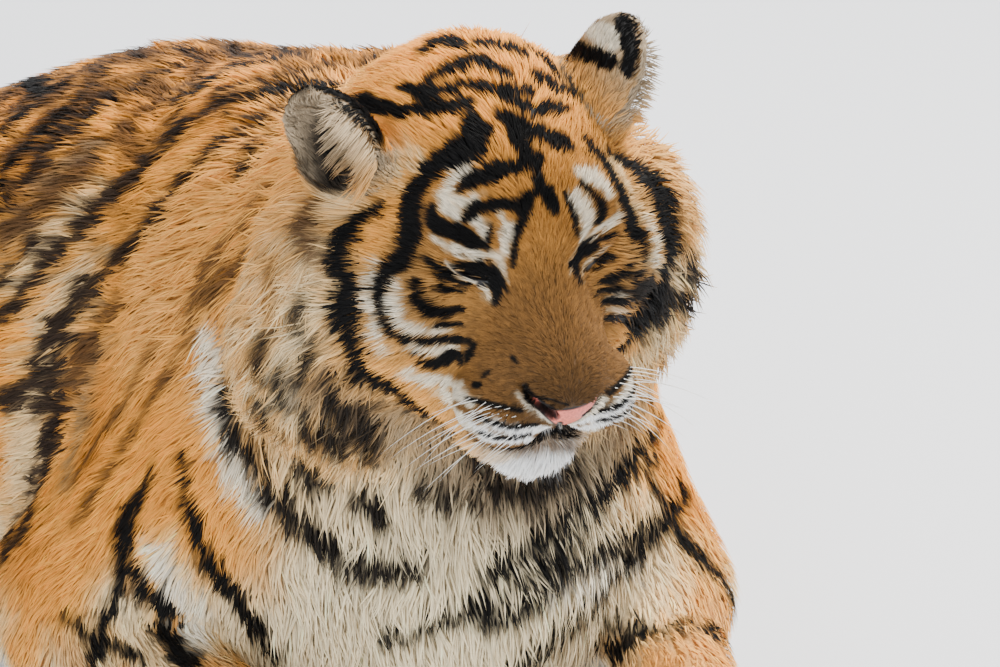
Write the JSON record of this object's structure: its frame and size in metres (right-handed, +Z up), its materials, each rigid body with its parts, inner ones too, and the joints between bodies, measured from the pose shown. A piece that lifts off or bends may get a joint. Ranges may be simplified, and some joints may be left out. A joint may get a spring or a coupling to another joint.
{
  "type": "siberian tiger",
  "caption": "Life-size still model of an adult Siberian tiger in winter coat, resting on its chest with the head raised and forelegs stretched out.",
  "frame": {"origin": "on the floor under the middle of the chest", "axes": "+Z up, the tiger faces -Y, its left side is +X; the floor is z = 0"},
  "size_m": [1.0716, 1.646, 0.7749],
  "materials": {
    "eye": "wet amber eye",
    "nose": "moist pink nose leather",
    "coat_ginger": "ginger winter coat with black stripes",
    "coat_pale": "pale winter coat with black stripes",
    "coat_cream": "cream coat of the chin",
    "coat_dark": "black coat of the tail tip"
  },
  "bodies": {
    "root": {"belly": "coat_ginger", "chest": "coat_pale", "ear_left": "coat_ginger", "ear_right": "coat_ginger", "eye_left": "eye", "eye_right": "eye", "forearm_left": "coat_ginger", "forearm_right": "coat_ginger", "forepaw_left": "coat_ginger", "forepaw_right": "coat_ginger", "head": "coat_ginger", "hind_foot_left": "coat_ginger", "hind_foot_right": "coat_ginger", "lower_jaw": "coat_cream", "muzzle": "coat_ginger", "neck": "coat_pale", "nose": "nose", "rump": "coat_ginger", "tail_end": "coat_ginger", "tail_middle": "coat_ginger", "tail_root": "coat_ginger", "tail_tip": "coat_dark", "thigh_left": "coat_ginger", "thigh_right": "coat_ginger", "upper_foreleg_left": "coat_ginger", "upper_foreleg_right": "coat_ginger"}
  },
  "joints": []
}
